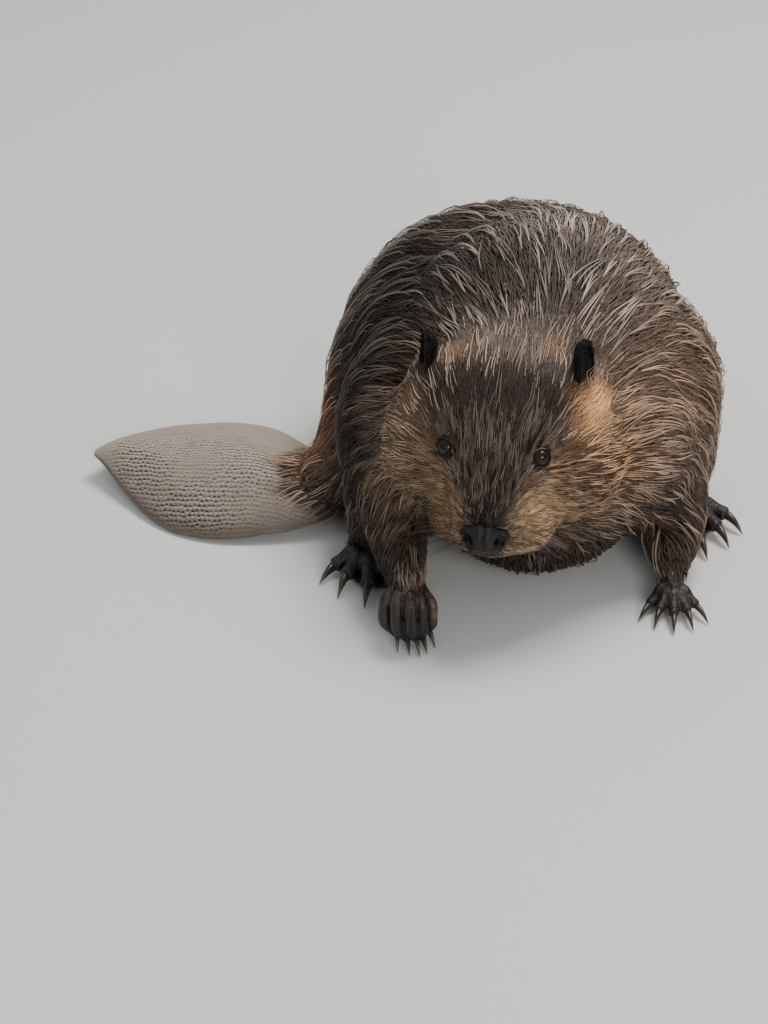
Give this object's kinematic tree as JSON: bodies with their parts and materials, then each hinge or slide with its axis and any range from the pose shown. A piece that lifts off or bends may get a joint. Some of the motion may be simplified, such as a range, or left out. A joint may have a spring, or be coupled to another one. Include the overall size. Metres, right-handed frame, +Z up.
{
  "type": "beaver",
  "caption": "Life-size beaver standing hunched on all fours, head lowered and turned a little, flat scaly tail laid out to its right side.",
  "frame": {"origin": "on the floor, under the middle of the bounding box", "axes": "+X towards the animal's left side, the tail lying out along -X; -Y the way the animal faces; +Z up"},
  "size_m": [0.506, 0.382, 0.245],
  "materials": {
    "fur": "coarse damp dark brown coat",
    "foot_skin": "bare dark wrinkled skin, slightly glossy",
    "claw_horn": "dark polished horn",
    "tail_scales": "taupe scaly skin with rows of small pits",
    "nose_skin": "bare moist black skin",
    "ear_skin": "thin dark skin with short hair",
    "eye_gloss": "wet dark brown, near black"
  },
  "bodies": {
    "root": {"claw_forepaw_left_1": "claw_horn", "claw_forepaw_left_2": "claw_horn", "claw_forepaw_left_3": "claw_horn", "claw_forepaw_left_4": "claw_horn", "claw_forepaw_left_5": "claw_horn", "claw_forepaw_right_1": "claw_horn", "claw_forepaw_right_2": "claw_horn", "claw_forepaw_right_3": "claw_horn", "claw_forepaw_right_4": "claw_horn", "claw_forepaw_right_5": "claw_horn", "claw_hindfoot_left_1": "claw_horn", "claw_hindfoot_left_2": "claw_horn", "claw_hindfoot_left_3": "claw_horn", "claw_hindfoot_left_4": "claw_horn", "claw_hindfoot_left_5": "claw_horn", "claw_hindfoot_right_1": "claw_horn", "claw_hindfoot_right_2": "claw_horn", "claw_hindfoot_right_3": "claw_horn", "claw_hindfoot_right_4": "claw_horn", "claw_hindfoot_right_5": "claw_horn", "ear_left": "ear_skin", "ear_right": "ear_skin", "eye_left": "eye_gloss", "eye_right": "eye_gloss", "foreleg_left": "fur", "foreleg_right": "fur", "forepaw_left": "foot_skin", "forepaw_right": "foot_skin", "head": "fur", "hindfoot_left": "foot_skin", "hindfoot_right": "foot_skin", "hindleg_left": "fur", "hindleg_right": "fur", "neck": "fur", "nose": "nose_skin", "rump": "fur", "tail_blade": "tail_scales", "tail_root": "fur", "trunk": "fur"}
  },
  "joints": []
}
